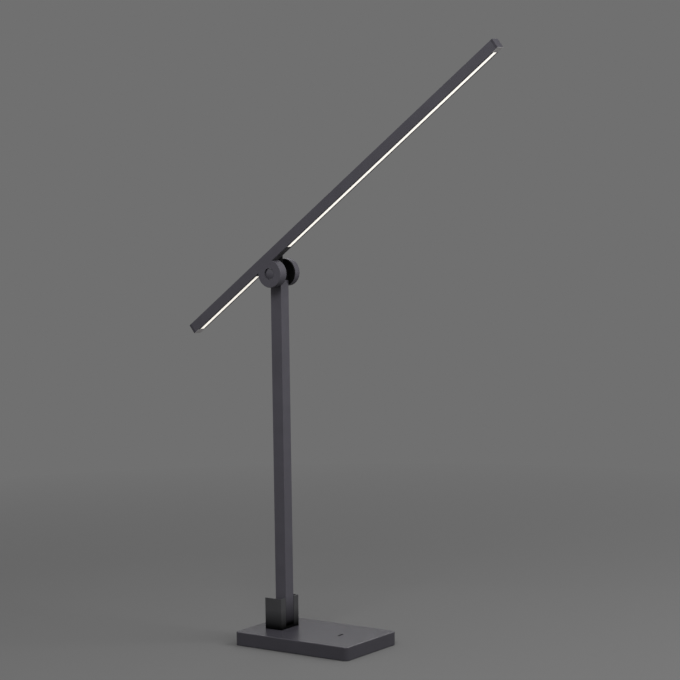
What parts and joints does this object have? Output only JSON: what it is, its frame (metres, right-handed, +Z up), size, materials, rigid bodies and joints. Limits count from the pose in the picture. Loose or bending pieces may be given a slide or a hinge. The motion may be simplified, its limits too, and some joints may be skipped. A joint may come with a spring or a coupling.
{
  "type": "led table lamp",
  "caption": "Table lamp with a flat oblong base, a square stem that tilts in a fork, and a long slim light bar clamped beside it on a round friction hinge.",
  "frame": {"origin": "middle of the rest face under the base pad, in metres", "axes": "+Z up; +X forward, the way the light bar reaches; +Y to the left side of the base, away from the light bar"},
  "size_m": [0.43, 0.102, 0.6981],
  "materials": {
    "painted_base": "fine matt powder coat",
    "painted_bracket": "fine matt powder coat",
    "painted_aluminium": "matt dark coat over aluminium",
    "bare_aluminium": "machined",
    "cap_paint": "matt dark coat, turned edge",
    "black_rubber": "matt, fine grip texture",
    "friction_ring": "dull",
    "steel": "zinc plated",
    "zinc_plate": "zinc plated sheet",
    "circuit_board": "solder mask",
    "strip_board": "white solder mask",
    "black_plastic": "moulded",
    "dark_plastic": "moulded, fine grain",
    "key_plastic": "moulded, fine grain",
    "end_plastic": "moulded, fine grain",
    "white_plastic": "moulded",
    "lead_sleeve": "smooth sleeve",
    "lit_diffuser": "milky, lit from behind"
  },
  "bodies": {
    "base": {"base_shell": "painted_base", "base_pad": "black_rubber", "bottom_plate": "zinc_plate", "plate_screws": "steel", "ballast": "steel", "driver_board": "circuit_board", "board_screws": "steel", "power_coil": "black_plastic", "filter_capacitor": "bare_aluminium", "control_chip": "black_plastic", "board_terminals": "white_plastic", "power_inlet": "black_plastic", "supply_lead": "lead_sleeve", "light_lead": "lead_sleeve", "tact_switch": "black_plastic", "bracket_shim": "painted_bracket", "stem_bracket": "painted_bracket", "bracket_screws": "steel", "stem_pin": "steel", "pin_plug": "dark_plastic", "pin_lock_screw": "steel"},
    "key": {"switch_key": "key_plastic", "key_plunger": "white_plastic"},
    "stem": {"stem_tube": "painted_aluminium", "stem_foot": "painted_aluminium", "pin_bush": "white_plastic", "foot_washers": "white_plastic", "stem_head": "painted_aluminium", "axle_bush": "white_plastic", "stem_wires": "lead_sleeve"},
    "arm": {"arm_beam": "painted_aluminium", "clamp_disc": "painted_aluminium", "friction_washers": "friction_ring", "hinge_bolt": "steel", "spring_washers": "steel", "hinge_nut": "steel", "hub_cap": "cap_paint", "disc_cap": "cap_paint", "lower_strip": "strip_board", "upper_strip": "strip_board", "lower_diffuser": "lit_diffuser", "upper_diffuser": "lit_diffuser", "channel_covers": "dark_plastic", "lower_end_cap": "end_plastic", "upper_end_cap": "end_plastic", "arm_wires": "lead_sleeve"}
  },
  "joints": [
    {"name": "stem_tilt", "type": "hinge", "parent": "base", "child": "stem", "pos_m": [-0.044, 0, 0.0261], "axis": [0, 1, 0], "range_deg": [0, 40]},
    {"name": "arm_tilt", "type": "hinge", "parent": "stem", "child": "arm", "pos_m": [-0.044, 0, 0.4351], "axis": [0, -1, 0], "range_deg": [-127.8, 52.2]},
    {"name": "key_press", "type": "slide", "parent": "base", "child": "key", "axis": [0, 0, -1], "range_m": [0, 0.0008], "stiffness_N_per_m": 800, "springref_m": -0.0008}
  ]
}
